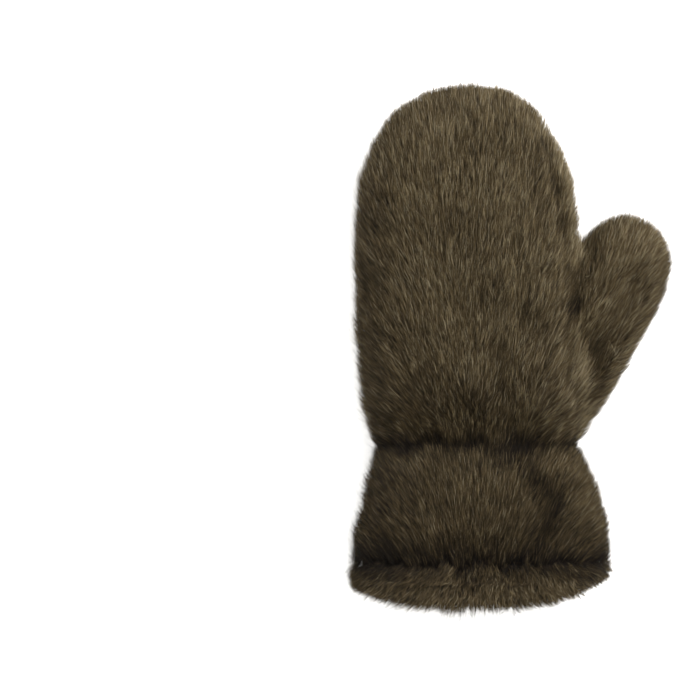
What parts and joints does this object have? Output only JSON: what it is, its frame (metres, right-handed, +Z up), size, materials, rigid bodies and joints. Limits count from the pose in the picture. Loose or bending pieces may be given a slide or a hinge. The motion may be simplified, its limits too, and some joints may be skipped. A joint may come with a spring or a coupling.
{
  "type": "mitten",
  "caption": "Deep-pile fur mitten for a left hand, lying on its palm: back and palm panels, a splayed thumb, a flared cuff and a rolled hem round an open hollow",
  "frame": {"origin": "under the middle of the mitten's bounding box, on the surface that it lies on", "axes": "+Y from the cuff to the fingertips, +X to the thumb, +Z up from the surface; the palm is down"},
  "size_m": [0.1718, 0.2804, 0.0509],
  "materials": {
    "back_fur": "matt deep pile",
    "palm_fur": "matt deep pile",
    "thumb_fur": "matt deep pile",
    "cuff_fur": "matt deep pile",
    "hem_fur": "matt deep pile"
  },
  "bodies": {
    "root": {"back_panel": "back_fur", "palm_panel": "palm_fur", "thumb": "thumb_fur", "cuff": "cuff_fur", "cuff_hem": "hem_fur"}
  },
  "joints": []
}
